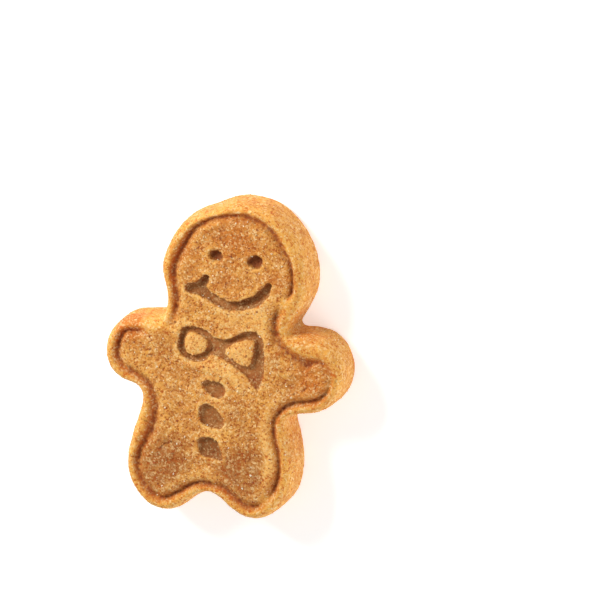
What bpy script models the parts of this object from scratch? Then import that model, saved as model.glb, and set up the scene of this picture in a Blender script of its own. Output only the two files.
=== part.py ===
# A gingerbread man biscuit, 57 mm tall: short dough pressed in a mould, turned out and baked.
#
# It lies face up. +X is to the viewer's right, +Y towards the head and +Z up, and the
# origin is the middle of its footprint, on the surface that it rests on. The figure is one
# solid: a rounded wall and rim follow the outline, a pressed groove parts the rim from the
# flatter panel, and the face, the bow tie and three buttons are pressed into the panel.
# Lengths and places are in millimetres, and every vertex is written in metres.

import math

import bmesh
import bpy
from mathutils import Matrix, Vector

MM = 0.001

# Driving dimensions
THICKNESS = 9.5  # from the underside to the crest of the rim
FOOT_ROUND = 1.2  # radius of the rounding round the underside
SHOULDER = 3.2  # height over which the wall rolls over into the rim
RIM_CREST = 1.6  # from the outline in to the crest of the rim
GROOVE_LINE = 2.5  # from the outline in to the bottom of the groove
GROOVE_OUTER = 0.9  # from the groove's bottom out to where its steep side ends
GROOVE_INNER = 1.5  # from the groove's bottom in to where its easy side ends
GROOVE_DEPTH = 1.15
PANEL_SINK = 0.25  # how far the panel lies below the crest of the rim
EYE_DEPTH = 1.4
MOUTH_DEPTH = 1.0
BOW_DEPTH = 0.95
BUTTON_DEPTH = 0.95

# How finely the form is cut into facets
OUTLINE_STEP = 1.5  # longest side of a facet along the outline
FOOT_FACETS = 3
SHOULDER_FACETS = 5
GROOVE_STATIONS = [-0.62, -0.25, 0.12, 0.4, 0.7, 1.0]  # shares of the way across each side of the groove
CUT_ABOVE = 1.0  # how far a pocket's cutter stands above the rim
WELD = 0.01  # points of a cutter this close are one

# Round ends of the figure: centre x and y, radius across, radius along
HEAD = (0.75, 15.7, 13.05, 12.75)
HAND_RIGHT = (15.6, 0.6, 6.3, 7.0)
HAND_LEFT = (-15.1, -1.3, 6.15, 6.1)
FOOT_RIGHT = (8.2, -20.7, 6.6, 6.6)
FOOT_LEFT = (-8.4, -22.2, 6.8, 6.8)

# What lies between the round ends
NECK_RIGHT = [(11.45, 8.0), (12.1, 7.2)]
ARMPIT_RIGHT = [(14.4, -6.7), (12.9, -7.6), (12.6, -9.1)]
HIP_RIGHT = [(13.5, -11.6), (14.4, -14.8), (14.8, -18.0)]
CROTCH = [(2.2, -24.6), (0.3, -24.1), (-1.6, -24.9)]
HIP_LEFT = [(-15.3, -19.7), (-14.9, -16.5), (-14.3, -13.6), (-13.8, -10.9)]
ARMPIT_LEFT = [(-13.8, -9.0), (-14.7, -7.7)]
NECK_LEFT = [(-12.6, 5.5), (-11.3, 6.5)]

# Where the outline is pressed in a little from its round ends: place, reach and depth.
# A bulge has less than no depth.
DENTS = [
    ((-5.6, 26.8), 6.0, 0.75),
    ((-13.4, -26.4), 6.5, 0.6),
    ((13.5, -24.9), 6.5, 0.5),
    ((-12.2, 13.8), 6.5, -0.6),
    ((5.5, 27.6), 6.0, -0.35),
    ((-19.0, -5.2), 4.5, -0.3),
    ((14.0, -6.0), 4.0, -0.3),
]

# Where the rim is narrower than elsewhere: place on the outline, reach, and the share lost
NARROW_RIMS = [
    ((0.5, 28.5), 13.0, 0.2),
    ((-5.6, 26.8), 6.5, 0.25),
    ((21.9, 0.6), 9.0, 0.3),
]

# Where the groove runs out: place on the outline, reach, and the share of the depth lost
GROOVE_FADES = [
    ((-12.4, 5.6), 4.2, 1.6),
    ((11.5, 8.3), 2.0, 0.6),
    ((21.9, 0.6), 6.0, 0.5),
    ((13.2, -25.0), 4.5, 0.7),
]

# The face: eye centre x and y, radius across, radius along
EYES = {
    "left": (-2.8, 18.8, 1.4, 1.0),
    "right": (4.25, 19.1, 1.35, 1.25),
}
# Middle line of the mouth and of the fold at its left corner, with the half width at each point
MOUTH = [
    (7.4, 15.7, 0.35),
    (6.9, 14.4, 0.6),
    (5.8, 12.8, 0.8),
    (4.2, 11.5, 0.85),
    (2.5, 10.8, 0.85),
    (0.7, 10.5, 0.8),
    (-1.0, 10.6, 0.8),
    (-2.5, 11.1, 0.8),
    (-3.8, 11.8, 0.85),
    (-5.2, 12.3, 0.9),
    (-6.5, 12.3, 0.7),
    (-7.2, 12.2, 0.45),
]
CHEEK = [(-4.2, 15.0, 0.45), (-4.4, 14.1, 0.6), (-4.7, 13.2, 0.7), (-5.1, 12.4, 0.75)]

# The bow tie: a sunken outline with two lobes left standing in it
BOW = [
    (-7.4, 4.9), (-5.4, 5.5), (-2.8, 5.1), (-1.5, 4.2), (0.8, 4.5), (3.3, 6.1), (5.6, 6.6),
    (7.1, 5.6), (7.9, 2.4), (8.0, -0.8), (7.6, -3.1), (6.6, -3.2), (5.1, -1.6), (3.2, -0.4),
    (-0.1, 0.9), (-1.5, 1.2), (-3.0, -0.2), (-5.2, -0.6), (-7.5, 0.6), (-7.8, 2.8),
]
BOW_LOBES = {
    "left": [(-6.6, 3.8), (-5.5, 4.6), (-3.6, 4.0), (-2.5, 3.0), (-3.1, 1.3), (-4.8, 0.5), (-6.3, 0.9)],
    "right": [(0.6, 1.9), (1.7, 3.6), (3.5, 4.6), (5.6, 5.2), (5.8, 3.8), (5.5, 1.2), (4.9, 0.2), (2.7, 0.6)],
}
# The buttons, from the neck down, each pressed a little out of shape
BUTTONS = {
    "top": [(-2.8, -4.2), (-1.2, -3.4), (0.7, -3.8), (1.6, -5.0), (0.5, -6.3), (-1.4, -5.8)],
    "middle": [
        (-2.6, -8.5), (-1.6, -7.9), (0.4, -8.6), (1.9, -10.4), (1.5, -11.7), (-0.6, -11.7), (-2.4, -11.0),
    ],
    "bottom": [
        (-2.4, -14.6), (-1.3, -13.9), (0.9, -14.1), (1.8, -15.5), (2.4, -17.3), (0.6, -17.2), (-1.5, -17.1),
    ],
}


def clear_scene():
    for item in list(bpy.data.objects):
        bpy.data.objects.remove(item)


def new_collection(name):
    collection = bpy.data.collections.new(name)
    bpy.context.scene.collection.children.link(collection)
    return collection


def baked_dough():
    """Matt golden brown, a little uneven in the oven but without any glaze."""
    material = bpy.data.materials.new("baked_dough")
    material.use_nodes = True
    shader = material.node_tree.nodes["Principled BSDF"]
    shader.inputs["Base Color"].default_value = (0.62, 0.31, 0.09, 1.0)
    shader.inputs["Roughness"].default_value = 0.8
    shader.inputs["Metallic"].default_value = 0.0
    return material


def arc(round_end, start, stop, count):
    """Points along a round end, between two angles in degrees, anticlockwise from +X."""
    x, y, across, along = round_end
    angles = [math.radians(start + (stop - start) * i / (count - 1)) for i in range(count)]
    return [(x + across * math.cos(a), y + along * math.sin(a)) for a in angles]


def outline_guide():
    """The few points that the outline passes through, clockwise from the left of the neck."""
    return (
        arc(HEAD, 205, -30, 11) + NECK_RIGHT
        + arc(HAND_RIGHT, 100, -70, 7) + ARMPIT_RIGHT + HIP_RIGHT
        + arc(FOOT_RIGHT, -15, -125, 5) + CROTCH
        + arc(FOOT_LEFT, -62, -165, 5) + HIP_LEFT + ARMPIT_LEFT
        + arc(HAND_LEFT, -115, -265, 6) + NECK_LEFT
    )


def smooth_loop(guide, step):
    """A closed curve through the guide points, cut into pieces no longer than step."""
    points = [Vector(point) for point in guide]
    count = len(points)
    loop = []
    for i, here in enumerate(points):
        before, after, beyond = points[i - 1], points[(i + 1) % count], points[(i + 2) % count]
        span = (after - here).length
        # Handles in proportion to each side's own length keep a tight corner from looping
        leave = (after - before) * span / ((after - here).length + (here - before).length)
        arrive = (beyond - here) * span / ((beyond - after).length + (after - here).length)
        pieces = max(1, math.ceil(span / step))
        for k in range(pieces):
            t = k / pieces
            loop.append(
                here * (2 * t**3 - 3 * t**2 + 1) + leave * (t**3 - 2 * t**2 + t)
                + after * (3 * t**2 - 2 * t**3) + arrive * (t**3 - t**2)
            )
    return loop


def eased(distance, reach):
    """1 at the middle, falling smoothly to 0 at reach."""
    share = max(0.0, 1.0 - distance / reach)
    return share * share * (3 - 2 * share)


def inward_normals(loop):
    """Unit vectors that point into the figure; the loop runs clockwise."""
    normals = []
    for i in range(len(loop)):
        along = (loop[(i + 1) % len(loop)] - loop[i - 1]).normalized()
        normals.append(Vector((along.y, -along.x)))
    return normals


def figure_outline():
    """The outline with its dents, and the shift that centres its box on the origin."""
    loop = smooth_loop(outline_guide(), OUTLINE_STEP)
    loop = [
        point + inward * change_at(point, DENTS) for point, inward in zip(loop, inward_normals(loop))
    ]
    low = Vector((min(p.x for p in loop), min(p.y for p in loop)))
    high = Vector((max(p.x for p in loop), max(p.y for p in loop)))
    return loop, -(low + high) / 2


def change_at(point, changes):
    """The sum, at this point, of local changes that each have a place, a reach and an amount."""
    return sum(amount * eased((point - Vector(place)).length, reach) for place, reach, amount in changes)


def quarter_turn(facets):
    """The angles from 0 to 90 degrees at the ends of so many equal facets."""
    return [math.radians(90 * i / facets) for i in range(facets + 1)]


def wall_profile(point):
    """(inset, height) from the edge of the underside, up the wall, over the rim, to the panel."""
    share = max(0.0, 1.0 - change_at(point, GROOVE_FADES))
    narrow = 1.0 - change_at(point, NARROW_RIMS)
    foot = [
        (FOOT_ROUND * (1 - math.sin(a)), FOOT_ROUND * (1 - math.cos(a)))
        for a in quarter_turn(FOOT_FACETS)
    ]
    shoulder = [
        (narrow * RIM_CREST * (1 - math.cos(a)), THICKNESS - SHOULDER * (1 - math.sin(a)))
        for a in quarter_turn(SHOULDER_FACETS)
    ]
    groove = []
    panel_edge = GROOVE_LINE + GROOVE_INNER
    for station in GROOVE_STATIONS:
        inset = GROOVE_LINE + station * (GROOVE_OUTER if station < 0 else GROOVE_INNER)
        dip = GROOVE_DEPTH * share * (0.5 + 0.5 * math.cos(math.pi * station))
        slope = (inset - RIM_CREST) / (panel_edge - RIM_CREST)
        groove.append((narrow * inset, THICKNESS - PANEL_SINK * slope - dip))
    return foot + shoulder + groove


def model_figure(collection, material):
    """Rings that follow the outline, one for each step of the wall profile, skinned and capped."""
    loop, shift = figure_outline()
    inward = inward_normals(loop)
    profiles = [wall_profile(point) for point in loop]
    shell = bmesh.new()
    rings = []
    for step in range(len(profiles[0])):
        ring = []
        for point, normal, profile in zip(loop, inward, profiles):
            inset, height = profile[step]
            place = point + normal * inset + shift
            ring.append(shell.verts.new(Vector((place.x, place.y, height)) * MM))
        rings.append(ring)
    for lower, upper in zip(rings, rings[1:]):
        for i in range(len(lower)):
            j = (i + 1) % len(lower)
            shell.faces.new((lower[i], lower[j], upper[j], upper[i]))
    shell.faces.new(rings[0])
    shell.faces.new(rings[-1])
    for skin in shell.faces:
        skin.smooth = len(skin.verts) == 4  # the panel and the underside stay flat
    bmesh.ops.recalc_face_normals(shell, faces=shell.faces)
    mesh = bpy.data.meshes.new("gingerbread_man")
    shell.to_mesh(mesh)
    shell.free()
    figure = bpy.data.objects.new("gingerbread_man", mesh)
    figure.data.materials.append(material)
    collection.objects.link(figure)
    return figure, shift


def mesh_cutter(guide, shift, collection):
    """Turns a curve object into a closed mesh with the same name, moved with the figure."""
    guide.location = (*(shift * MM), 0.0)
    bpy.context.scene.collection.objects.link(guide)
    bpy.context.view_layer.update()
    evaluated = guide.evaluated_get(bpy.context.evaluated_depsgraph_get())
    mesh = bpy.data.meshes.new_from_object(evaluated)
    place = guide.matrix_world.copy()
    name = guide.name
    bpy.data.objects.remove(guide)
    shell = bmesh.new()
    shell.from_mesh(mesh)
    bmesh.ops.remove_doubles(shell, verts=shell.verts, dist=WELD * MM)
    bmesh.ops.recalc_face_normals(shell, faces=shell.faces)
    shell.to_mesh(mesh)
    shell.free()
    return add_cutter(name, mesh, place, collection)


def add_cutter(name, mesh, place, collection):
    cutter = bpy.data.objects.new(name, mesh)
    cutter.matrix_world = place
    cutter.hide_render = True
    cutter.display_type = "WIRE"
    collection.objects.link(cutter)
    return cutter


def pocket(name, loops, depth, shift, collection):
    """A block with a smooth outline that reaches from above the rim down into the panel."""
    floor = THICKNESS - PANEL_SINK - depth
    top = THICKNESS + CUT_ABOVE
    curve = bpy.data.curves.new(name, "CURVE")
    curve.dimensions = "2D"
    curve.fill_mode = "BOTH"
    curve.extrude = (top - floor) / 2 * MM
    curve.resolution_u = 3
    for loop in loops:
        spline = curve.splines.new("BEZIER")
        spline.bezier_points.add(len(loop) - 1)
        spline.use_cyclic_u = True
        for knot, (x, y) in zip(spline.bezier_points, loop):
            knot.co = (x * MM, y * MM, 0.0)
            knot.handle_left_type = knot.handle_right_type = "AUTO"
    cutter = mesh_cutter(bpy.data.objects.new(name, curve), shift, collection)
    cutter.location.z = (top + floor) / 2 * MM
    return cutter


def stroke(name, line, depth, shift, collection):
    """A round-bottomed groove along a line of points that each give their own half width.

    It is as deep as asked where it is widest, and shallower in proportion where it narrows.
    """
    curve = bpy.data.curves.new(name, "CURVE")
    curve.dimensions = "3D"
    curve.bevel_depth = MM
    curve.bevel_resolution = 2
    curve.use_fill_caps = True
    curve.resolution_u = 3
    spline = curve.splines.new("BEZIER")
    spline.bezier_points.add(len(line) - 1)
    for knot, (x, y, half_width) in zip(spline.bezier_points, line):
        knot.co = (x * MM, y * MM, 0.0)
        knot.radius = half_width
        knot.handle_left_type = knot.handle_right_type = "AUTO"
    cutter = mesh_cutter(bpy.data.objects.new(name, curve), shift, collection)
    cutter.location.z = (THICKNESS - PANEL_SINK) * MM
    cutter.scale.z = depth / max(half_width for _, _, half_width in line)
    return cutter


def eye(name, hollow, depth, shift, collection):
    """The lower half of an egg-shaped hollow."""
    x, y, across, along = hollow
    shell = bmesh.new()
    bmesh.ops.create_uvsphere(shell, u_segments=14, v_segments=10, radius=1.0)
    size = Matrix.Diagonal((across * MM, along * MM, depth * MM, 1.0))
    bmesh.ops.transform(shell, matrix=size, verts=shell.verts)
    mesh = bpy.data.meshes.new(name)
    shell.to_mesh(mesh)
    shell.free()
    place = Vector((x + shift.x, y + shift.y, THICKNESS - PANEL_SINK)) * MM
    return add_cutter(name, mesh, Matrix.Translation(place), collection)


def press_in(figure, cutter):
    cut = figure.modifiers.new(cutter.name, "BOOLEAN")
    cut.operation = "DIFFERENCE"
    cut.solver = "EXACT"
    cut.object = cutter


def main():
    clear_scene()
    food = new_collection("gingerbread_man_biscuit")
    cutters = new_collection("pressed_shapes")
    figure, shift = model_figure(food, baked_dough())
    pressed = [
        stroke("mouth", MOUTH, MOUTH_DEPTH, shift, cutters),
        stroke("cheek", CHEEK, MOUTH_DEPTH, shift, cutters),
        pocket("bow_tie", [BOW, *BOW_LOBES.values()], BOW_DEPTH, shift, cutters),
    ]
    pressed += [eye("eye_" + side, hollow, EYE_DEPTH, shift, cutters) for side, hollow in EYES.items()]
    pressed += [
        pocket("button_" + which, [loop], BUTTON_DEPTH, shift, cutters) for which, loop in BUTTONS.items()
    ]
    for cutter in pressed:
        press_in(figure, cutter)


main()
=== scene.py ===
# Dresses the gingerbread man biscuit: short dough, pressed in a mould, turned out and baked golden.
#
# Lengths and places in the settings are in millimetres on the mould's own plan: +X to the viewer's
# right, +Y towards the head, +Z up out of the pressed face. The plan is centred on the solid's box.

import math

import bmesh
import bpy
import numpy as np
from mathutils import Matrix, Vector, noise
from mathutils.kdtree import KDTree


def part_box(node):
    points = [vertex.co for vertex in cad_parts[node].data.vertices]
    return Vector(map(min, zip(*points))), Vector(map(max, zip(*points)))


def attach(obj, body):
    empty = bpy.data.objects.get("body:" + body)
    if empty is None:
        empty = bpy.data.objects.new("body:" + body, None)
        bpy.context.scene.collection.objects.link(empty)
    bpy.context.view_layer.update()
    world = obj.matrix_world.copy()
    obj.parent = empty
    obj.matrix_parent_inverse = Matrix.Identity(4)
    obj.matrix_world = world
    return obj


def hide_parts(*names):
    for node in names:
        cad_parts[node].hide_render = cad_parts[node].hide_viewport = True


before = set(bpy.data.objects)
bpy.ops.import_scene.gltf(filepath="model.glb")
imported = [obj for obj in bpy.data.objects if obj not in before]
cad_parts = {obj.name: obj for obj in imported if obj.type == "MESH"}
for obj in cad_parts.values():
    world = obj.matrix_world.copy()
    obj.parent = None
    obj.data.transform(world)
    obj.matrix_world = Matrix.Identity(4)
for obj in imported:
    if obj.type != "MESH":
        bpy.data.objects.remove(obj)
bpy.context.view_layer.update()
mm = 0.001
low, high = (np.array(corner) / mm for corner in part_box("gingerbread_man"))
print("frame loaded, biscuit box in mm:", low.round(2), high.round(2))


# Shared helpers

def addNode(tree, kind, inputs=None, **settings):
    # One node with its settings; an input takes a number or the socket that feeds it
    node = tree.nodes.new(kind)
    for name, value in settings.items():
        setattr(node, name, value)
    for name, value in (inputs or {}).items():
        if isinstance(value, bpy.types.NodeSocket):
            tree.links.new(value, node.inputs[name])
        else:
            node.inputs[name].default_value = value
    return node


def maths(tree, operation, first, second=0.0, third=0.0):
    node = addNode(tree, "ShaderNodeMath", {0: first, 1: second, 2: third}, operation=operation)
    return node.outputs["Value"]


def mixColours(tree, share, first, second, blend="MIX"):
    node = addNode(tree, "ShaderNodeMix", {0: share, 6: first, 7: second}, data_type="RGBA", blend_type=blend)
    return node.outputs[2]


def spread(tree, value, fromLow, fromHigh, toLow=0.0, toHigh=1.0):
    # Maps one range onto another, clamped, with soft ends
    inputs = {"Value": value, 1: fromLow, 2: fromHigh, 3: toLow, 4: toHigh}
    return addNode(tree, "ShaderNodeMapRange", inputs, interpolation_type="SMOOTHSTEP").outputs[0]


def tint(red, green, blue):
    # A colour in screen values, from 0 to 255, as the linear one that a shader takes
    shares = [channel / 255 for channel in (red, green, blue)]
    return (*[share / 12.92 if share <= 0.04045 else ((share + 0.055) / 1.055) ** 2.4 for share in shares], 1.0)


def applyModifiers(piece):
    bpy.context.view_layer.update()
    graph = bpy.context.evaluated_depsgraph_get()
    mesh = bpy.data.meshes.new_from_object(
        piece.evaluated_get(graph), preserve_all_data_layers=True, depsgraph=graph
    )
    piece.modifiers.clear()
    piece.data = mesh
    mesh.name = piece.name


def newPiece(name, mesh):
    piece = bpy.data.objects.new(name, mesh)
    bpy.context.scene.collection.objects.link(piece)
    return piece


def softStep(value, start, stop):
    share = np.clip((value - start) / (stop - start), 0.0, 1.0)
    return share * share * (3 - 2 * share)


# The outline of the figure

outline = {
    "step": 0.35,  # longest side along the outline
    "head": (0.75, 15.7, 13.05, 12.75),  # a round end: centre x and y, radius across, radius along
    "neckRight": [(11.45, 8.0), (12.1, 7.2)],
    "handRight": (15.6, 0.6, 6.3, 7.0),
    "armpitRight": [(14.4, -6.7), (12.9, -7.6), (12.6, -9.1)],
    "hipRight": [(13.5, -11.6), (14.4, -14.8), (14.8, -18.0)],
    "footRight": (8.2, -20.7, 6.6, 6.6),
    "crotch": [(2.2, -24.6), (0.3, -24.1), (-1.6, -24.9)],
    "footLeft": (-8.4, -22.2, 6.8, 6.8),
    "hipLeft": [(-15.3, -19.7), (-14.9, -16.5), (-14.3, -13.6), (-13.8, -10.9)],
    "armpitLeft": [(-13.8, -9.0), (-14.7, -7.7)],
    "handLeft": (-15.1, -1.3, 6.15, 6.1),
    "neckLeft": [(-12.6, 5.5), (-11.3, 6.5)],
    "dents": [  # place on the outline, reach, depth; a bulge has less than none
        ((-5.6, 26.8), 6.0, 0.75),
        ((-13.4, -26.4), 6.5, 0.6),
        ((13.5, -24.9), 6.5, 0.5),
        ((-12.5, 13.0), 7.5, -0.58),
        ((5.5, 27.6), 6.0, -0.35),
        ((-19.0, -5.2), 4.5, -0.3),
        ((14.0, -6.0), 4.0, -0.3),
    ],
}


def arcPoints(roundEnd, start, stop, count):
    x, y, across, along = roundEnd
    angles = np.radians(np.linspace(start, stop, count))
    return list(zip(x + across * np.cos(angles), y + along * np.sin(angles)))


def outlineGuide():
    # Clockwise from the left of the neck
    return (
        arcPoints(outline["head"], 205, -30, 11) + outline["neckRight"]
        + arcPoints(outline["handRight"], 100, -70, 7) + outline["armpitRight"] + outline["hipRight"]
        + arcPoints(outline["footRight"], -15, -125, 5) + outline["crotch"]
        + arcPoints(outline["footLeft"], -62, -165, 5) + outline["hipLeft"] + outline["armpitLeft"]
        + arcPoints(outline["handLeft"], -115, -265, 6) + outline["neckLeft"]
    )


def smoothLoop(guide, step):
    # A closed curve through the guide points, with handles in proportion to each side's length
    points = np.array(guide)
    loop = []
    for i, here in enumerate(points):
        before, after, beyond = points[i - 1], points[(i + 1) % len(points)], points[(i + 2) % len(points)]
        back, span, ahead = (np.linalg.norm(side) for side in (here - before, after - here, beyond - after))
        leave = (after - before) * span / (span + back)
        arrive = (beyond - here) * span / (ahead + span)
        t = np.arange(0, 1, 1 / max(1, math.ceil(span / step)))[:, None]
        loop.append(
            here * (2 * t**3 - 3 * t**2 + 1) + leave * (t**3 - 2 * t**2 + t)
            + after * (3 * t**2 - 2 * t**3) + arrive * (t**3 - t**2)
        )
    return np.concatenate(loop)


def inwardNormals(loop):
    # Unit vectors that point into the figure; the loop runs clockwise
    along = np.roll(loop, -1, axis=0) - np.roll(loop, 1, axis=0)
    along /= np.linalg.norm(along, axis=1)[:, None]
    return np.stack([along[:, 1], -along[:, 0]], axis=1)


def changeAt(points, changes):
    # The sum of local changes, each with a place, a reach and an amount
    total = np.zeros(len(points))
    for place, reach, amount in changes:
        total += amount * softStep(np.linalg.norm(points - np.array(place), axis=1), reach, 0.0)
    return total


edge = smoothLoop(outlineGuide(), outline["step"])
edge += inwardNormals(edge) * changeAt(edge, outline["dents"])[:, None]
shift = (low + high)[:2] / 2 - (edge.min(axis=0) + edge.max(axis=0)) / 2  # from the mould's plan to the frame
print("outline:", len(edge), "points, shift in mm:", shift.round(3))


# The dough, before the mould is pressed in

dough = {
    "thickness": high[2] - low[2] - 0.18,  # the crumb stands on it
    "footRound": 1.3,  # radius of the rounding round the underside
    "wallLean": 0.02,  # how far the wall leans in from the foot to the shoulder
    "shoulder": 3.6,  # height over which the wall rolls over into the rim
    "rimCrest": 1.75,  # from the outline in to the crest of the rim
    "firstSkin": 0.3,  # side of the skin's squares before the mould is pressed in
    "finalSkin": 0.245,  # and after it
}


def wallProfile():
    # (inset, height) from the edge of the underside, up the wall and over the rim
    foot, shoulder = dough["footRound"], dough["shoulder"]
    quarter = np.radians(np.linspace(0, 90, 9))
    profile = [(foot * (1 - math.sin(a)), foot * (1 - math.cos(a))) for a in quarter]
    for a in quarter:
        lean = dough["wallLean"] + (dough["rimCrest"] - dough["wallLean"]) * (1 - math.cos(a))
        profile.append((lean, dough["thickness"] - shoulder * (1 - math.sin(a))))
    return profile


def rawDough():
    shell = bmesh.new()
    inward = inwardNormals(edge)
    rings = []
    for inset, height in wallProfile():
        ring = []
        for x, y in edge + inward * inset + shift:
            ring.append(shell.verts.new((x * mm, y * mm, height * mm)))
        rings.append(ring)
    for lower, upper in zip(rings, rings[1:]):
        for i in range(len(lower)):
            j = (i + 1) % len(lower)
            shell.faces.new((lower[i], lower[j], upper[j], upper[i]))
    shell.faces.new(rings[0])
    shell.faces.new(rings[-1])
    bmesh.ops.recalc_face_normals(shell, faces=shell.faces)
    mesh = bpy.data.meshes.new("biscuit_dough")
    shell.to_mesh(mesh)
    shell.free()
    return newPiece("biscuit_dough", mesh)


def evenSkin(piece, side):
    remesh = piece.modifiers.new("even skin", "REMESH")
    remesh.mode = "VOXEL"
    remesh.voxel_size = side * mm
    applyModifiers(piece)


# What the mould presses into the top

groove = {
    "line": 2.45,  # from the outline in to the groove's bottom
    "outer": 1.35,  # from the bottom out to where the easy side ends
    "inner": 1.05,  # from the bottom in to the top of the panel's steep edge
    "depth": 1.2,
    "softening": 40,  # how much more softly than the outline it takes a corner
    "panelSink": 0.22,  # how far the panel lies below the crest of the rim
    "crestLine": 4.0,  # a low swelling along the panel's edge
    "crestWidth": 1.0,
    "crestHeight": 0.17,
    "narrowRims": [  # place on the outline, reach, share lost
        ((0.5, 28.5), 13.0, 0.2),
        ((-5.6, 26.8), 6.5, 0.25),
        ((21.9, 0.6), 9.0, 0.3),
        ((16.0, 7.6), 7.5, -0.95),
        ((-14.3, -13.0), 8.0, -0.38),
        ((-11.8, 19.5), 6.0, -0.15),
        ((14.4, -14.0), 7.0, 0.12),
        ((-18.2, 3.8), 5.0, 0.22),
    ],
    "tight": [((13.5, 17.5), 12.0, 0.5)],  # where its sides stand closer: place, reach, share lost
    "fades": [  # place on the outline, reach, share of the depth lost
        ((-12.9, 5.0), 3.6, 1.4),
        ((13.1, 11.8), 3.4, 0.9),
        ((21.9, 0.6), 6.0, 0.5),
        ((13.2, -25.0), 4.5, 0.7),
    ],
    "swells": [((10.8, -11.0), 5.5, 0.18), ((10.7, -17.0), 5.5, 0.2)],  # where the crest stands higher, and is painted paler as a highlight
}

pressed = {
    "eyes": {"left": (-2.8, 18.8, 1.4, 1.0), "right": (4.25, 19.1, 1.35, 1.25)},  # centre, half width, half height
    "eyeDepth": 1.1,
    "mouth": [  # middle line, with the half width at each point
        (7.2, 15.4, 0.5), (6.7, 14.2, 0.8), (5.8, 12.8, 0.95), (4.2, 11.6, 0.95), (2.5, 10.8, 0.85),
        (0.7, 10.5, 0.8), (-1.0, 10.6, 0.8), (-2.5, 11.1, 0.8), (-3.8, 11.8, 0.9), (-5.2, 12.4, 1.05),
        (-6.4, 12.3, 0.9), (-7.0, 12.1, 0.6),
    ],
    "cheek": [(-4.2, 14.5, 0.75), (-4.5, 13.7, 0.85), (-4.9, 12.9, 1.0)],
    "mouthDepth": 1.15,
    "bow": [
        (-7.4, 4.9), (-5.4, 5.5), (-2.8, 5.1), (-1.5, 4.2), (0.8, 4.5), (3.3, 6.1), (5.6, 6.6),
        (7.1, 5.6), (7.9, 2.4), (8.0, -0.8), (7.6, -3.1), (6.6, -3.2), (5.1, -1.6), (3.2, -0.4),
        (-0.1, 0.9), (-1.5, 1.2), (-3.0, -0.2), (-5.2, -0.6), (-7.5, 0.6), (-7.8, 2.8),
    ],
    "bowLobes": [
        [(-6.6, 3.8), (-5.5, 4.6), (-3.6, 4.0), (-2.5, 3.0), (-3.1, 1.3), (-4.8, 0.5), (-6.3, 0.9)],
        [(0.6, 1.9), (1.7, 3.6), (3.5, 4.6), (5.6, 5.2), (5.8, 3.8), (5.5, 1.2), (4.9, 0.2), (2.7, 0.6)],
    ],
    "bowDepth": 0.95,
    "bowTear": [((6.7, -2.8), 3.0, 0.85)],  # where its floor has lifted: place, reach, share of the depth lost
    "buttons": [
        [(-2.8, -4.2), (-1.2, -3.4), (0.7, -3.8), (1.6, -5.0), (0.5, -6.3), (-1.4, -5.8)],
        [(-2.6, -8.5), (-1.6, -7.9), (0.4, -8.6), (1.9, -10.4), (1.5, -11.7), (-0.6, -11.7), (-2.4, -11.0)],
        [(-2.4, -14.6), (-1.3, -13.9), (0.9, -14.1), (1.8, -15.5), (2.4, -17.3), (0.6, -17.2), (-1.5, -17.1)],
    ],
    "buttonDepth": 0.95,
    "sideRun": 0.36,  # how far a pocket's side runs in plan
    "lipReach": 0.8,  # dough pushed up round a pocket
    "lipHeight": 0.14,
    "lobeDome": 0.25,
    "ridge": [(-6.2, -1.5, 0.3), (-3.3, -1.5, 0.6), (-0.4, -1.2, 0.7), (2.3, -2.1, 0.7), (4.4, -3.8, 0.4)],
    "ridgeHeight": 0.38,
    "handSwell": [((16.5, -1.5), 3.2, 0.3), ((-15.5, -0.5), 4.5, 0.15), ((13.6, -1.6), 2.6, -0.3)],
    "dents": [((-8.2, -16.6), 1.9, 0.4), ((-6.7, -11.0), 2.0, 0.25), ((14.6, 8.0), 3.4, 0.4)],  # place, reach, depth
}

cracks = {
    "lines": [  # each with its half width at each point
        [(8.3, 7.4, 0.1), (9.2, 7.0, 0.16), (10.3, 7.3, 0.06)],
        [(6.3, -1.8, 0.08), (6.7, -2.7, 0.16), (7.4, -3.8, 0.08)],
        [(5.5, 7.5, 0.05), (6.0, 6.5, 0.12)],
        [(0.2, -3.5, 0.1), (0.8, -2.4, 0.05)],
        [(-2.8, 1.3, 0.08), (-2.6, 2.0, 0.08)],
        [(-2.1, 1.5, 0.08), (-1.9, 2.2, 0.08)],
        [(-1.4, 1.6, 0.08), (-1.2, 2.4, 0.08)],
        [(21.0, 1.2, 0.05), (20.7, 0.6, 0.1)],
        [(-12.6, -20.2, 0.14), (-14.0, -20.0, 0.05)],
        [(-12.0, -13.2, 0.12), (-13.0, -12.8, 0.05)],
        [(15.2, -1.9, 0.08), (16.0, -1.2, 0.12)],
        [(-9.5, 5.0, 0.1), (-8.7, 5.7, 0.16)],
        [(-9.2, -17.6, 0.08), (-8.2, -16.5, 0.14), (-7.0, -15.8, 0.06)],
    ],
    "depth": 0.4,
    "run": 0.14,  # how far a crack's side runs in plan
}

wander = [(2.4, 0.2, 3.0), (0.8, 0.14, 7.0)]  # the mould's lines aren't clean: size, reach, level in the noise
noise.seed_set(109)  # noise_vector starts from another place on each run without it


def alongLine(points, line):
    # For each point and each side of the line: how far off it is, and how far along the nearest place lies
    starts, sides = line[:-1, :2], line[1:, :2] - line[:-1, :2]
    offset = points[:, None] - starts
    share = np.clip((offset * sides).sum(axis=2) / (sides**2).sum(axis=1), 0.0, 1.0)
    return np.linalg.norm(offset - share[..., None] * sides, axis=2), share


def strokeGap(points, line):
    # Distance outside a stroke that has its own half width at each point; negative inside it
    line = np.array(line)
    away, share = alongLine(points, line)
    halfWidth = line[:-1, 2] * (1 - share) + line[1:, 2] * share
    return (away - halfWidth).min(axis=1)


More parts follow.
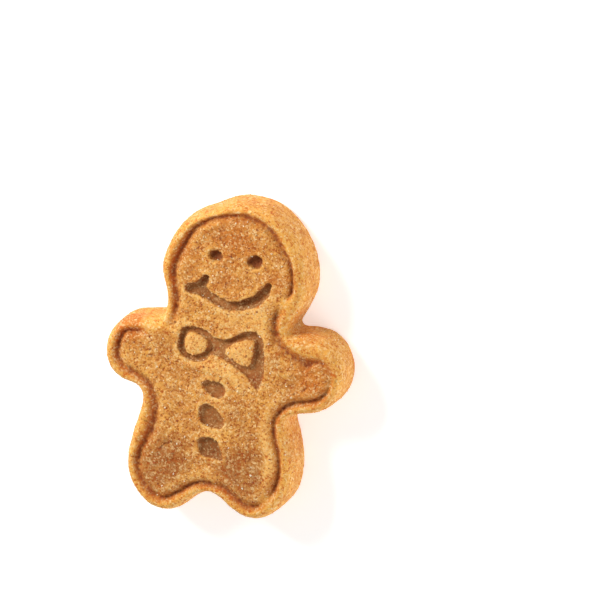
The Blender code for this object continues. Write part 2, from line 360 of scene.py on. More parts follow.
def loopGap(points, guide):
    # Distance outside a closed shape; negative inside it
    loop = smoothLoop(guide, 0.3)
    loop = np.vstack([loop, loop[:1]])
    away, _ = alongLine(points, loop)
    (x0, y0), (x1, y1) = loop[:-1].T, loop[1:].T
    x, y = points[:, :1], points[:, 1:]
    crosses = ((y0 > y) != (y1 > y)) & (x < x0 + (y - y0) * (x1 - x0) / (y1 - y0 + 1e-12))
    inside = crosses.sum(axis=1) % 2 == 1
    return np.where(inside, -1.0, 1.0) * away.min(axis=1)


def eyeGap(points, hollow):
    x, y, across, along = hollow
    reach = np.linalg.norm((points - (x, y)) / (across, along), axis=1)
    return (reach - 1.0) * min(across, along)


def sunkShare(gap):
    # 0 outside a pocket, 1 on its floor
    run = pressed["sideRun"]
    return softStep(-gap, -run / 3, run * 2 / 3)


def wandered(points):
    moved = points.copy()
    for size, reach, level in wander:
        moved += reach * np.array([noise.noise_vector((x / size, y / size, level))[:2] for x, y in points])
    return moved


grooveGuide = edge.copy()
for _ in range(groove["softening"]):
    grooveGuide = (2 * grooveGuide + np.roll(grooveGuide, 1, axis=0) + np.roll(grooveGuide, -1, axis=0)) / 4
edgeTree = KDTree(len(edge))
for index, (x, y) in enumerate(grooveGuide):
    edgeTree.insert((x, y, 0.0), index)
edgeTree.balance()
rimShare = 1.0 - changeAt(edge, groove["narrowRims"])
depthShare = np.clip(1.0 - changeAt(edge, groove["fades"]), 0.0, 1.0)
sideShare = 1.0 - changeAt(edge, groove["tight"])


def readMould(points):
    # What the mould does at each place on the plan: the rise of the surface, and shares for the finish
    plain = points
    points = wandered(points)
    found = [edgeTree.find((x, y, 0.0)) for x, y in points]
    nearest = np.array([index for _, index, _ in found])
    inset = np.array([distance for _, _, distance in found]) / rimShare[nearest]

    station = (inset - groove["line"]) / sideShare[nearest]
    station = np.where(station < 0, station / groove["outer"], station / groove["inner"])
    valley = (0.5 + 0.5 * np.cos(np.pi * np.clip(station, -1, 1))) * depthShare[nearest]
    slope = np.exp(-(((station + 0.3) / 0.27) ** 2)) * depthShare[nearest]
    panel = softStep(inset, groove["line"] - 0.3, groove["line"] + groove["inner"])
    crest = np.exp(-(((inset - groove["crestLine"]) / groove["crestWidth"]) ** 2)) * panel
    swell = changeAt(points, groove["swells"])

    mouthGap = np.minimum(strokeGap(points, pressed["mouth"]), strokeGap(points, pressed["cheek"]))
    bowGap = loopGap(points, pressed["bow"])
    lobeGap = np.minimum(*[loopGap(points, lobe) for lobe in pressed["bowLobes"]])
    buttonGap = np.min([loopGap(points, button) for button in pressed["buttons"]], axis=0)
    eyeGaps = np.minimum(*[eyeGap(points, hollow) for hollow in pressed["eyes"].values()])
    crackGap = np.min([strokeGap(plain, line) for line in cracks["lines"]], axis=0)

    mouth, buttons = sunkShare(mouthGap), sunkShare(buttonGap)
    tear = changeAt(points, pressed["bowTear"])
    bow = sunkShare(np.maximum(bowGap, -lobeGap)) * (1 - tear)
    eyes = softStep(-eyeGaps, -0.15, 0.35)
    ridge = softStep(-strokeGap(points, pressed["ridge"]), -0.7, 0.4)
    dome = softStep(-lobeGap, 0.0, 1.3)
    crack = softStep(-crackGap, -cracks["run"], cracks["run"] / 2)
    gaps = np.min([mouthGap, bowGap, buttonGap, eyeGaps], axis=0)
    lip = np.where(gaps > 0, np.exp(-((np.maximum(gaps, 0.0) / pressed["lipReach"]) ** 2)), 0.0)
    pockets = np.max([mouth, bow, buttons], axis=0)

    rise = (
        -groove["depth"] * valley - groove["panelSink"] * panel + (groove["crestHeight"] + swell) * crest
        - pressed["mouthDepth"] * mouth - pressed["bowDepth"] * bow - pressed["buttonDepth"] * buttons
        - pressed["eyeDepth"] * eyes + pressed["lipHeight"] * lip + pressed["lobeDome"] * dome
        + pressed["ridgeHeight"] * ridge
        + changeAt(points, pressed["handSwell"]) - changeAt(points, pressed["dents"]) - cracks["depth"] * crack
    )
    return {
        "rise": rise,
        "panel": panel,
        "floor": pockets,
        "hollow": eyes,
        "slope": slope,
        # the pockets' sides, which take painted shade
        "side": 4 * pockets * (1 - pockets),
        # where painted shade darkens both sides of the groove
        "grooveShade": valley**1.3,
        # painted shade at the groove's bottom, in the cracks and where the groove is tight
        "creaseShade": np.maximum.reduce([valley**4, crack, 1.8 * (1 - sideShare[nearest]) * valley**2]),
        # paler where the dough stood proud; on the panel's crest, most where it swells, this is painted highlight
        "paleAndHighlight": (0.4 + 6.0 * swell) * crest + 0.7 * lip + softStep(-lobeGap, -0.1, 0.2) + 0.8 * ridge,
    }


def pressMould(piece):
    points = readPoints(piece.data)
    top = points[:, 2] > dough["thickness"] / 2
    points[top, 2] += readMould(points[top, :2])["rise"]
    writePoints(piece.data, points)


def readPoints(mesh):
    # The mesh's points in millimetres on the mould's plan
    flat = np.empty(len(mesh.vertices) * 3)
    mesh.vertices.foreach_get("co", flat)
    points = flat.reshape(-1, 3) / mm
    points[:, :2] -= shift
    return points


def writePoints(mesh, points):
    placed = points.copy()
    placed[:, :2] += shift
    mesh.vertices.foreach_set("co", (placed * mm).ravel())
    mesh.update()


# How the oven coloured it: shares from 0 to 1 that the finish reads at each point

oven = {
    "toast": [  # place, reach, share: greyer, browner and rougher
        ((-8.5, -21.0), 9.5, 1.2),
        ((-8.5, -14.0), 6.5, 0.3),
        ((6.0, -18.0), 8.5, 1.05),
        ((6.0, -22.0), 6.0, 0.5),
        ((-8.0, -7.5), 6.0, 0.2),
        ((5.0, -9.0), 5.5, 0.45),
        ((13.3, -2.2), 3.5, 0.6),
        ((-9.5, 1.0), 4.5, 0.6),
        ((8.0, 21.0), 4.0, 0.4),
    ],
    "amber": [  # more orange
        ((0.5, 22.5), 7.5, 0.9),
        ((-8.0, 18.5), 5.5, 0.6),
        ((8.5, 17.5), 5.0, 0.6),
        ((0.0, 14.5), 5.0, 0.5),
        ((16.5, -0.5), 6.0, 1.0),
        ((-16.0, 2.0), 5.0, 0.5),
        ((-17.5, 3.4), 4.0, 1.4),
        # partly the dough's own orange, partly painted shade on the right shoulder's wall, as if another biscuit stood
        # close beside it
        ((15.0, 8.6), 4.5, 0.75),
        ((-8.0, -25.0), 5.0, 0.3),
        ((9.5, -22.0), 5.0, 0.3),
    ],
    "paleAndHighlight": [  # paler and smoother
        ((0.5, 7.9), 5.5, 0.9),
        ((6.0, 8.8), 4.5, 0.6),
        ((-0.5, -1.2), 4.0, 0.8),
        ((4.5, -3.4), 3.0, 0.5),
        ((0.0, -20.2), 3.5, 0.35),
        ((0.0, -7.3), 3.5, 0.6),
        ((0.0, -12.9), 3.5, 0.6),
        ((16.8, -1.6), 3.0, 0.7),
        ((-14.0, 2.2), 3.5, 0.45),
        ((-4.5, 2.5), 3.0, 0.4),
    ],
    "floorShade": [  # painted shade: darker pocket floors
        ((-0.3, -15.6), 4.0, 0.9),
        ((-0.5, -10.2), 3.0, 0.4),
        ((-7.2, 1.5), 3.2, 0.9),
        ((6.4, 3.2), 2.8, 0.7),
        ((3.0, 11.5), 5.0, 0.8),
        ((-4.5, 12.5), 4.5, 0.7),
    ],
    "slope": {  # painted shade: how dark and orange the rim's slope into the groove is, as if in shadow with warm bounced light
        "plain": 0.55,
        # stronger mostly on the left, where the slope faces away from the key light
        "stronger": [
            ((-11.5, 15.0), 12.0, 0.6), ((-14.5, -15.0), 13.0, 0.4), ((-17.0, 3.0), 7.0, 0.8), ((3.0, -24.0), 6.0, 0.3),
        ],
    },
}


def writeShares(piece):
    points = readPoints(piece.data)
    heights = points[:, 2] / dough["thickness"]
    top = heights > 0.5
    names = ("panel", "floor", "hollow", "slope", "side", "grooveShade", "creaseShade", "paleAndHighlight", "toast", "amber", "floorShade")
    shares = {name: np.zeros(len(points)) for name in names}
    for name, values in readMould(points[top, :2]).items():
        if name in shares:
            shares[name][top] = values
    for name in ("toast", "amber", "paleAndHighlight", "floorShade"):
        shares[name] += np.where(top, changeAt(points[:, :2], oven[name]), 0.0)
    shares["slope"] *= oven["slope"]["plain"] + changeAt(points[:, :2], oven["slope"]["stronger"])
    shares["underside"] = softStep(heights, 0.12, 0.0)
    shares["wall"] = softStep(heights, 0.97, 0.6) * (1 - shares["floor"]) * (1 - shares["hollow"])
    for name, values in shares.items():
        layer = piece.data.attributes.new(name, "FLOAT", "POINT")
        layer.data.foreach_set("value", np.clip(values, 0.0, 1.0))


pores = {
    "share": 0.045,  # of the skin's points that are a pore
    "rimShare": 0.06,  # how many there are on the rim and the wall beside the panel
    "depth": 0.22,
    "seed": 11,
}


def prickPores(piece):
    mesh = piece.data
    dice = np.random.default_rng(pores["seed"])
    count = len(mesh.vertices)
    panel, floor, paleAndHighlight, normals = np.empty(count), np.empty(count), np.empty(count), np.empty(count * 3)
    for name, values in (("panel", panel), ("floor", floor), ("paleAndHighlight", paleAndHighlight)):
        mesh.attributes[name].data.foreach_get("value", values)
    mesh.vertices.foreach_get("normal", normals)
    likely = pores["share"] * (pores["rimShare"] + (1 - pores["rimShare"]) * panel)
    likely *= (1 - 0.5 * floor) * (1 - 0.65 * paleAndHighlight)
    depth = np.where(dice.random(count) < likely, 0.3 + 0.7 * dice.random(count) ** 2, 0.0)
    points = readPoints(mesh)
    points -= normals.reshape(-1, 3) * depth[:, None] * pores["depth"]
    writePoints(mesh, points)
    layer = mesh.attributes.new("pore", "FLOAT", "POINT")
    layer.data.foreach_set("value", depth)


def restFlat(piece):
    # Nothing reaches below what the biscuit lies on
    points = readPoints(piece.data)
    points[:, 2] = np.maximum(points[:, 2], 0.0)
    writePoints(piece.data, points)
    print("crumb stands between", points[:, 2].min().round(3), "and", points[:, 2].max().round(3), "mm")


# Crumb: fine lumps and grains over the whole skin, rougher on the panel

crumb = {
    "Swell size": 4.5,
    "Swell height": 0.11,
    "Lump size": 1.5,
    "Lump height": 0.12,
    "Grain size": 0.6,
    "Grain height": 0.17,
    "Rim share": 0.5,  # how rough the rim and the wall are beside the panel
    "Seed": 4.0,
}


def newTree(name, settings):
    # A tree that takes a mesh and the settings as named inputs
    tree = bpy.data.node_groups.new(name, "GeometryNodeTree")
    tree.interface.new_socket("Geometry", in_out="INPUT", socket_type="NodeSocketGeometry")
    for setting in settings:
        tree.interface.new_socket(setting, in_out="INPUT", socket_type="NodeSocketFloat")
    tree.interface.new_socket("Geometry", in_out="OUTPUT", socket_type="NodeSocketGeometry")
    return tree, tree.nodes.new("NodeGroupInput").outputs


def named(tree, name):
    return addNode(tree, "GeometryNodeInputNamedAttribute", {"Name": name}, data_type="FLOAT").outputs[0]


def crumbTree():
    tree, given = newTree("crumb relief", crumb)
    position = tree.nodes.new("GeometryNodeInputPosition").outputs[0]
    normal = tree.nodes.new("GeometryNodeInputNormal").outputs[0]
    waves = []
    for wave in ("Swell", "Lump", "Grain"):
        scale = maths(tree, "DIVIDE", 1 / mm, given[wave + " size"])
        inputs = {"Vector": position, "W": given["Seed"], "Scale": scale, "Detail": 1.5}
        rise = addNode(tree, "ShaderNodeTexNoise", inputs, noise_dimensions="4D").outputs[0]
        centred = maths(tree, "SUBTRACT", rise, 0.5)
        waves.append(maths(tree, "MULTIPLY", centred, maths(tree, "MULTIPLY", given[wave + " height"], 2 * mm)))
    rough = spread(tree, named(tree, "panel"), 0.0, 1.0, given["Rim share"], 1.0)
    rough = maths(tree, "MULTIPLY", rough, spread(tree, named(tree, "paleAndHighlight"), 0.0, 1.0, 1.0, 0.6))
    fine = maths(tree, "MULTIPLY", maths(tree, "ADD", waves[1], waves[2]), rough)
    push = maths(tree, "ADD", waves[0], fine)
    offset = addNode(tree, "ShaderNodeVectorMath", {0: normal, "Scale": push}, operation="SCALE").outputs[0]
    moved = addNode(tree, "GeometryNodeSetPosition", {"Geometry": given["Geometry"], "Offset": offset})
    addNode(tree, "NodeGroupOutput", {"Geometry": moved.outputs[0]})
    return tree


def runTree(piece, tree, values):
    modifier = piece.modifiers.new(tree.name, "NODES")
    modifier.node_group = tree
    for socket in tree.interface.items_tree:
        if socket.item_type == "SOCKET" and socket.in_out == "INPUT" and socket.name in values:
            modifier[socket.identifier] = values[socket.name]
    applyModifiers(piece)


# Finish of the dough

doughFinish = {
    "golden": tint(243, 178, 80),  # rim and wall
    "brown": tint(223, 153, 69),  # panel
    "toasted": tint(176, 110, 50),
    "amber": tint(202, 108, 20),
    "floor": tint(168, 108, 56),  # what the mould pressed flat keeps a duller tone, and it is darkened further as painted shade of the pocket
    "slope": tint(208, 100, 22),
    # painted shade on the pocket floors
    "shadedFloor": tint(122, 68, 30),
    "grooveShade": tint(190, 108, 48),  # painted shade on both sides of the groove
    # painted shade: the dark at the groove's bottom, in the cracks and on the pockets' sides
    "creaseShade": tint(122, 42, 10),
    # the eye holes: a darker brown of their own, with painted shade over it
    "hollow": tint(128, 60, 24),
    "pit": tint(172, 86, 20),
    "rimPit": tint(206, 100, 22),
    "pale": tint(251, 215, 154),
    "pore": tint(178, 76, 20),
    "speck": tint(142, 56, 18),
    "fineGrain": 0.28,
    "coarseGrain": 0.6,
    "speckSpacing": 1.4,
    "speckRadius": 0.2,
}


def noiseAt(tree, coordinate, size, detail=2.0, roughness=0.55, seed=0.0):
    inputs = {"Vector": coordinate, "Scale": 1 / (size * mm), "Detail": detail, "Roughness": roughness, "W": seed}
    return addNode(tree, "ShaderNodeTexNoise", inputs, noise_dimensions="4D").outputs[0]


def cellsAt(tree, coordinate, spacing, seed):
    # A random number for each grain, and the distance from its middle
    inputs = {"Vector": coordinate, "Scale": 1 / (spacing * mm), "W": seed}
    cells = addNode(tree, "ShaderNodeTexVoronoi", inputs, voronoi_dimensions="4D")
    pick = addNode(tree, "ShaderNodeSeparateColor", {0: cells.outputs["Color"]})
    return pick.outputs[0], pick.outputs[1], cells.outputs["Distance"]


def specksAt(tree, coordinate, spacing, radius, portion, seed):
    # 1 inside small spots, one in each of a share of the cells
    pick, width, distance = cellsAt(tree, coordinate, spacing, seed)
    inside = maths(tree, "LESS_THAN", distance, maths(tree, "MULTIPLY", width, radius / spacing))
    return maths(tree, "MULTIPLY", inside, maths(tree, "LESS_THAN", pick, portion))


def share(tree, name):
    return addNode(tree, "ShaderNodeAttribute", attribute_name=name).outputs["Fac"]


def ruffled(tree, place, size, reach, seed):
    # The same place, pushed about a little, so that no cell shows straight sides
    inputs = {"Vector": place, "Scale": 1 / (size * mm), "Detail": 1.0, "W": seed}
    wobble = addNode(tree, "ShaderNodeTexNoise", inputs, noise_dimensions="4D").outputs["Color"]
    inputs = {0: wobble, 1: (reach * mm,) * 3, 2: place}
    return addNode(tree, "ShaderNodeVectorMath", inputs, operation="MULTIPLY_ADD").outputs[0]


def doughTone(tree, place):
    # From 0, the dark between grains, to 1, their pale tops
    finish = doughFinish
    ruffledPlace = ruffled(tree, place, 0.5, 0.4, 9.0)
    fine, _, _ = cellsAt(tree, ruffledPlace, finish["fineGrain"], 1.0)
    coarse, _, _ = cellsAt(tree, ruffledPlace, finish["coarseGrain"], 2.0)
    clump = noiseAt(tree, place, 1.1, detail=3.0, roughness=0.7, seed=3.0)
    cells = maths(tree, "MULTIPLY_ADD", fine, 0.55, maths(tree, "MULTIPLY", coarse, 0.15))
    return maths(tree, "MULTIPLY_ADD", clump, 0.7, maths(tree, "SUBTRACT", cells, 0.2))


def doughColour(tree, place, tone):
    finish = doughFinish
    panel, floor, hollow, slope, side, grooveShade = (
        share(tree, name) for name in ("panel", "floor", "hollow", "slope", "side", "grooveShade")
    )
    creaseShade, paleAndHighlight, toast, amber, floorShade, underside, wall, pore = (
        share(tree, name) for name in ("creaseShade", "paleAndHighlight", "toast", "amber", "floorShade", "underside", "wall", "pore")
    )
    broad = noiseAt(tree, place, 5.0, detail=3.0, seed=1.0)
    blotch = noiseAt(tree, place, 1.8, detail=3.0, seed=2.0)
    streaks = noiseAt(tree, addNode(tree, "ShaderNodeMapping", {0: place, "Scale": (0.25, 0.25, 2.5)}).outputs[0], 0.8)

    # Broad tones: golden where the dough stood proud, and paler on the crests as a painted highlight, browner on the
    # panel
    uneven = maths(tree, "ADD", spread(tree, broad, 0.3, 0.7, -0.35, 0.35), spread(tree, blotch, 0.3, 0.7, -0.35, 0.35))
    browning = maths(tree, "SUBTRACT", maths(tree, "ADD", panel, uneven), paleAndHighlight)
    proud = mixColours(tree, maths(tree, "MULTIPLY", paleAndHighlight, 0.18), finish["golden"], finish["pale"])
    colour = mixColours(tree, browning, proud, finish["brown"])
    ripe = maths(tree, "MULTIPLY", maths(tree, "ADD", amber, maths(tree, "MULTIPLY", uneven, 0.25)), 0.8)
    colour = mixColours(tree, ripe, colour, finish["amber"])
    calm = maths(tree, "SUBTRACT", 1.0, paleAndHighlight)
    turned = maths(tree, "MAXIMUM", maths(tree, "MULTIPLY", panel, calm), maths(tree, "MULTIPLY", wall, 0.6))
    burnt = maths(tree, "MULTIPLY", maths(tree, "MULTIPLY_ADD", uneven, 0.7, toast), turned)
    colour = mixColours(tree, burnt, colour, finish["toasted"])
    # painted shade on the rim's slope into the groove
    colour = mixColours(tree, slope, colour, finish["slope"])
    patchy = spread(tree, noiseAt(tree, place, 0.7, detail=3.0, seed=8.0), 0.35, 0.6, 0.35, 1.0)
    # painted shade: both sides of the groove darker, as in shadow
    colour = mixColours(tree, maths(tree, "MULTIPLY", maths(tree, "MULTIPLY", grooveShade, 0.75), patchy), colour, finish["grooveShade"])
    # painted shade on the pocket floors, deepest in the listed places
    floorColour = mixColours(tree, floorShade, finish["floor"], finish["shadedFloor"])
    # pocket floors: a duller tone of their own, with painted shade
    colour = mixColours(tree, maths(tree, "MULTIPLY", floor, 0.9), colour, floorColour)
    # painted shade: the pockets' sides darkened with the crease's colour
    colour = mixColours(tree, maths(tree, "MULTIPLY", side, 0.6), colour, finish["creaseShade"])
    colour = mixColours(tree, maths(tree, "MULTIPLY", wall, 0.22), colour, finish["amber"])
    colour = mixColours(tree, maths(tree, "MULTIPLY", underside, 0.5), colour, finish["toasted"])

    # Crumb: dark red-brown between the grains, pale on top of them
    smooth = maths(tree, "MAXIMUM", maths(tree, "MULTIPLY", paleAndHighlight, 0.1), maths(tree, "MULTIPLY", floor, 0.5))
    rough = maths(tree, "SUBTRACT", 1.0, maths(tree, "MAXIMUM", smooth, maths(tree, "MULTIPLY", creaseShade, 0.5)))
    tone = maths(tree, "MULTIPLY_ADD", maths(tree, "SUBTRACT", streaks, 0.5), spread(tree, panel, 0.0, 1.0, 0.2, 0.0), tone)
    pits = maths(tree, "MULTIPLY", spread(tree, tone, 0.46, 0.12, 0.0, 1.0), rough)
    tops = maths(tree, "MULTIPLY", spread(tree, tone, 0.52, 0.9, 0.0, 0.9), rough)
    pits = maths(tree, "MULTIPLY", pits, spread(tree, toast, 0.0, 1.0, 1.0, 1.5))
    tops = maths(tree, "MULTIPLY", tops, spread(tree, toast, 0.0, 1.0, 1.0, 0.75))
    brownest = maths(tree, "MULTIPLY", panel, maths(tree, "SUBTRACT", 1.0, maths(tree, "MULTIPLY", paleAndHighlight, 0.7)))
    colour = mixColours(tree, pits, colour, mixColours(tree, brownest, finish["rimPit"], finish["pit"]))
    colour = mixColours(tree, tops, colour, finish["pale"])
    colour = mixColours(tree, pore, colour, finish["pore"])
    # painted shade in the groove's bottom and the cracks
    colour = mixColours(tree, maths(tree, "MULTIPLY", maths(tree, "MULTIPLY", creaseShade, 0.8), patchy), colour, finish["creaseShade"])
    # the eye holes darkened, partly their own colour and partly painted shade
    colour = mixColours(tree, maths(tree, "MULTIPLY", hollow, 0.9), colour, finish["hollow"])
    specks = specksAt(tree, place, finish["speckSpacing"], finish["speckRadius"], 0.3, 6.0)
    specks = maths(tree, "MULTIPLY", specks, spread(tree, panel, 0.0, 1.0, 0.45, 0.8))
    return mixColours(tree, specks, colour, finish["speck"])


def newMaterial(name):
    material = bpy.data.materials.new(name)
    material.use_nodes = True
    tree = material.node_tree
    return material, tree, tree.nodes["Principled BSDF"], tree.nodes.new("ShaderNodeTexCoord").outputs["Object"]


def bakedDough():
    material, tree, shader, place = newMaterial("baked_dough_crumb")
    tone = doughTone(tree, place)
    colour = doughColour(tree, place, tone)
    grain = noiseAt(tree, place, 0.5, detail=3.0, roughness=0.75, seed=3.0)
    height = maths(tree, "MULTIPLY_ADD", tone, 0.35, grain)
    bump = addNode(tree, "ShaderNodeBump", {"Height": height, "Distance": 0.4 * mm, "Strength": 0.8})
    tree.links.new(colour, shader.inputs["Base Color"])
    tree.links.new(bump.outputs[0], shader.inputs["Normal"])
    shader.inputs["Roughness"].default_value = 0.7
    shader.inputs["Specular IOR Level"].default_value = 0.3
    shader.inputs["Subsurface Weight"].default_value = 0.06
    shader.inputs["Subsurface Radius"].default_value = (1.0, 0.45, 0.2)
    shader.inputs["Subsurface Scale"].default_value = 0.35 * mm
    return material


biscuit = rawDough()
evenSkin(biscuit, dough["firstSkin"])
pressMould(biscuit)
evenSkin(biscuit, dough["finalSkin"])
print("mould pressed:", len(biscuit.data.polygons), "squares")
writeShares(biscuit)
runTree(biscuit, crumbTree(), crumb)
prickPores(biscuit)
restFlat(biscuit)
biscuit.data.shade_smooth()
biscuit.data.materials.clear()
biscuit.data.materials.append(bakedDough())
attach(biscuit, "root")
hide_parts("gingerbread_man")
print("crumb raised")


# What lies half sunk in the skin: loose crumb grains, sugar crystals and flecks of spice

crumbGrains = {
    "Count": 2.0,  # for each square millimetre of the panel
    "Rim share": 0.6,  # of that count on the rim and the wall
    "Rim size": 0.6,  # how large they are there beside those on the panel
    "Smallest": 0.2,
    "Largest": 0.44,
    "Flatness": 0.75,
    "Proud": 0.05,  # how far the middle stands out of the skin, as a share of the size
    "Seed": 21.0,
}

sugarCrystals = {
    "Count": 0.14,
    "Rim share": 0.5,
    "Rim size": 0.7,
    "Smallest": 0.14,
    "Largest": 0.34,
    "Flatness": 0.8,
    "Proud": 0.1,
    "Seed": 22.0,
}

spiceFlecks = {
    "Count": 0.35,
    "Rim share": 0.3,
    "Rim size": 0.6,
    "Smallest": 0.15,
    "Largest": 0.48,
    "Flatness": 0.5,
    "Proud": 0.0,
    "Seed": 23.0,
}


def grainShape(tree):
    # A lump of twenty sides, no two of its corners equally far out
    ball = addNode(tree, "GeometryNodeMeshIcoSphere", {"Radius": 0.5, "Subdivisions": 1}).outputs[0]
    position = tree.nodes.new("GeometryNodeInputPosition").outputs[0]
    uneven = addNode(tree, "ShaderNodeTexNoise", {"Vector": position, "Scale": 2.3, "Detail": 0.0}).outputs[0]
    push = maths(tree, "MULTIPLY_ADD", uneven, 1.4, -0.7)
    offset = addNode(tree, "ShaderNodeVectorMath", {0: position, "Scale": push}, operation="SCALE").outputs[0]
    return addNode(tree, "GeometryNodeSetPosition", {"Geometry": ball, "Offset": offset}).outputs[0]


def crystalShape(tree):
    return addNode(tree, "GeometryNodeMeshCube", {"Size": (1.0, 0.85, 0.75)}).outputs[0]


def randomNumber(tree, lowest, highest, seed):
    inputs = {"Min": lowest, "Max": highest, "Seed": seed}
    node = addNode(tree, "FunctionNodeRandomValue", data_type="FLOAT")
    for name, value in inputs.items():
        socket = next(item for item in node.inputs if item.name == name and (item.enabled or name == "Seed"))
        if isinstance(value, bpy.types.NodeSocket):
            tree.links.new(value, socket)
        else:
            socket.default_value = value
    return next(item for item in node.outputs if item.enabled)


def scatterTree(name, settings, shape, material):
    tree, given = newTree(name, settings)
    panel, pressedIn = named(tree, "panel"), maths(tree, "MAXIMUM", named(tree, "floor"), named(tree, "hollow"))
    likely = spread(tree, panel, 0.0, 1.0, given["Rim share"], 1.0)
    likely = maths(tree, "MULTIPLY", likely, spread(tree, named(tree, "underside"), 0.0, 0.2, 1.0, 0.0))
    likely = maths(tree, "MULTIPLY", likely, spread(tree, pressedIn, 0.0, 1.0, 1.0, 0.3))
    density = maths(tree, "MULTIPLY", likely, maths(tree, "DIVIDE", given["Count"], mm * mm))
    spots = addNode(
        tree, "GeometryNodeDistributePointsOnFaces",
        {"Mesh": given["Geometry"], "Density": density, "Seed": given["Seed"]}, distribute_method="RANDOM",
    )
    size = randomNumber(tree, 0.0, 1.0, 31)
    size = maths(tree, "MULTIPLY", maths(tree, "POWER", size, 2.0), maths(tree, "SUBTRACT", given["Largest"], given["Smallest"]))
    size = maths(tree, "MULTIPLY", maths(tree, "ADD", size, given["Smallest"]), mm)
    size = maths(tree, "MULTIPLY", size, spread(tree, named(tree, "panel"), 0.0, 1.0, given["Rim size"], 1.0))
    lift = maths(tree, "MULTIPLY", size, given["Proud"])
    offset = addNode(tree, "ShaderNodeVectorMath", {0: spots.outputs["Normal"], "Scale": lift}, operation="SCALE").outputs[0]
    moved = addNode(tree, "GeometryNodeSetPosition", {"Geometry": spots.outputs["Points"], "Offset": offset}).outputs[0]
    toned = addNode(
        tree, "GeometryNodeStoreNamedAttribute",
        {"Geometry": moved, "Name": "tone", "Value": randomNumber(tree, 0.0, 1.0, 32)}, data_type="FLOAT",
    ).outputs[0]
    turn = addNode(
        tree, "ShaderNodeCombineXYZ",
        {axis: randomNumber(tree, -math.pi, math.pi, seed) for axis, seed in enumerate((33, 34, 35))},
    ).outputs[0]
    flat = maths(tree, "MULTIPLY", size, given["Flatness"])
    scale = addNode(
        tree, "ShaderNodeCombineXYZ",
        {0: size, 1: maths(tree, "MULTIPLY", size, randomNumber(tree, 0.7, 1.0, 36)), 2: flat},
    ).outputs[0]
    lumps = addNode(
        tree, "GeometryNodeInstanceOnPoints",
        {"Points": toned, "Instance": shape(tree), "Rotation": turn, "Scale": scale},
    ).outputs[0]
    whole = addNode(tree, "GeometryNodeRealizeInstances", {"Geometry": lumps}).outputs[0]
    finished = addNode(tree, "GeometryNodeSetMaterial", {"Geometry": whole, "Material": material}).outputs[0]
    addNode(tree, "NodeGroupOutput", {"Geometry": finished})
    return tree


def scatter(name, settings, shape, material):
    piece = newPiece(name, biscuit.data.copy())
    runTree(piece, scatterTree(name, settings, shape, material), settings)
    piece.data.shade_flat()
    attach(piece, "root")
    print(name + ":", len(piece.data.polygons), "faces")


def grainFinish():
    material, tree, shader, place = newMaterial("crumb_grain")
    tone = maths(tree, "MULTIPLY_ADD", share(tree, "tone"), 0.5, 0.24)
    tree.links.new(doughColour(tree, place, tone), shader.inputs["Base Color"])
    shader.inputs["Roughness"].default_value = 0.65
    shader.inputs["Specular IOR Level"].default_value = 0.35
    return material


def sugarFinish():
    material, tree, shader, place = newMaterial("sugar_crystal")
    cloud = noiseAt(tree, place, 0.3)
    mixed = maths(tree, "ADD", maths(tree, "MULTIPLY", share(tree, "tone"), 0.7), maths(tree, "MULTIPLY", cloud, 0.3))
    tree.links.new(mixColours(tree, mixed, tint(255, 244, 222), tint(240, 206, 150)), shader.inputs["Base Color"])
    shader.inputs["Roughness"].default_value = 0.28
    shader.inputs["Subsurface Weight"].default_value = 0.2
    shader.inputs["Subsurface Scale"].default_value = 0.2 * mm
    return material


def spiceFinish():
    material, tree, shader, place = newMaterial("spice_fleck")
    cloud = noiseAt(tree, place, 0.25)
    mixed = maths(tree, "ADD", maths(tree, "MULTIPLY", share(tree, "tone"), 0.7), maths(tree, "MULTIPLY", cloud, 0.3))
    tree.links.new(mixColours(tree, mixed, tint(124, 44, 14), tint(186, 92, 32)), shader.inputs["Base Color"])
    shader.inputs["Roughness"].default_value = 0.6
    return material


scatter("crumb_grains", crumbGrains, grainShape, grainFinish())
scatter("sugar_crystals", sugarCrystals, crystalShape, sugarFinish())
scatter("spice_flecks", spiceFlecks, grainShape, spiceFinish())


# Ground, light and camera

studio = {
    "groundSize": 3000.0,
    "ground": tint(250, 249, 247),
    "sky": tint(255, 255, 255),
    "skyStrength": 0.4,
    "glow": 0.42,  # the lit table under the ground
}


def layGround():
    half = studio["groundSize"] / 2 * mm
    mesh = bpy.data.meshes.new("ground")
    corners = [(-half, -half, -0.00002), (half, -half, -0.00002), (half, half, -0.00002), (-half, half, -0.00002)]
    mesh.from_pydata(corners, [], [(0, 1, 2, 3)])
    ground = newPiece("ground", mesh)
    material, tree, shader, place = newMaterial("pale_ground")
    cloud = noiseAt(tree, place, 90.0)
    tree.links.new(mixColours(tree, cloud, studio["ground"], tint(252, 252, 251)), shader.inputs["Base Color"])
    shader.inputs["Roughness"].default_value = 0.6
    shader.inputs["Emission Color"].default_value = (1.0, 1.0, 1.0, 1.0)
    shader.inputs["Emission Strength"].default_value = studio["glow"]
    mesh.materials.append(material)


camera = {
    "leanRight": 16.5,  # degrees from straight above, towards the viewer's right
    "leanHead": 18.5,  # and towards the head
    "roll": 6.5,
    "aim": (10.04, 11.34),  # the place on the ground in the middle of the view
    "distance": 1491.6,
    "lens": 520.2,
}


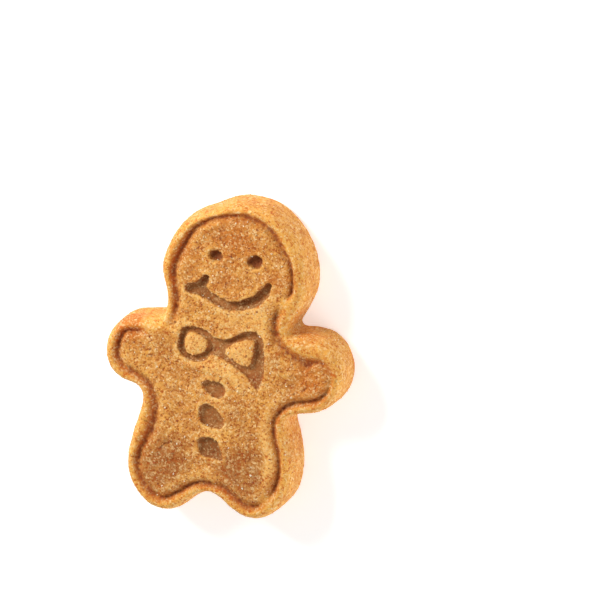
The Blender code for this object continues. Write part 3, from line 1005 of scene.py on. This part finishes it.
def viewAxes():
    # Right, up and backward of the camera
    back = np.array([math.tan(math.radians(camera["leanRight"])), math.tan(math.radians(camera["leanHead"])), 1.0])
    back /= np.linalg.norm(back)
    up = np.array([0.0, 1.0, 0.0]) - back[1] * back
    up /= np.linalg.norm(up)
    right = np.cross(up, back)
    turn = math.radians(camera["roll"])
    return (
        math.cos(turn) * right + math.sin(turn) * up,
        math.cos(turn) * up - math.sin(turn) * right,
        back,
    )


def setCamera():
    right, up, back = viewAxes()
    data = bpy.data.cameras.new("camera")
    data.lens = camera["lens"]
    data.clip_start = 0.01
    item = newPiece("camera", data)
    item.matrix_world = matrixOf(right, up, back, np.array([*camera["aim"], 0.0]) + back * camera["distance"])
    bpy.context.scene.camera = item


def matrixOf(right, up, back, location):
    # An object's matrix from its axes and its place in millimetres
    rows = [[right[i], up[i], back[i], location[i] * mm] for i in range(3)]
    return Matrix(rows + [[0.0, 0.0, 0.0, 1.0]])


lights = {
    "key": {"from": (-0.75, 0.65, 0.75), "distance": 500.0, "size": 160.0, "power": 2.3, "tint": (1.0, 0.98, 0.95)},
    "fill": {"from": (0.9, -0.4, 0.35), "distance": 600.0, "size": 400.0, "power": 1.75, "tint": (1.0, 1.0, 1.0)},
}


def hangLights():
    for name, setting in lights.items():
        towards = np.array(setting["from"]) / np.linalg.norm(setting["from"])
        side = np.cross((0.0, 1.0, 0.0), towards)
        side /= np.linalg.norm(side)
        data = bpy.data.lights.new(name, "AREA")
        data.size = setting["size"] * mm
        data.energy = setting["power"]
        data.color = setting["tint"]
        item = newPiece(name, data)
        item.matrix_world = matrixOf(side, np.cross(towards, side), towards, towards * setting["distance"])


def setSky():
    world = bpy.data.worlds.new("pale_studio")
    world.use_nodes = True
    background = world.node_tree.nodes["Background"]
    background.inputs["Color"].default_value = studio["sky"]
    background.inputs["Strength"].default_value = studio["skyStrength"]
    bpy.context.scene.world = world
    bpy.context.scene.view_settings.view_transform = "Standard"


layGround()
setCamera()
hangLights()
setSky()
print("studio set")
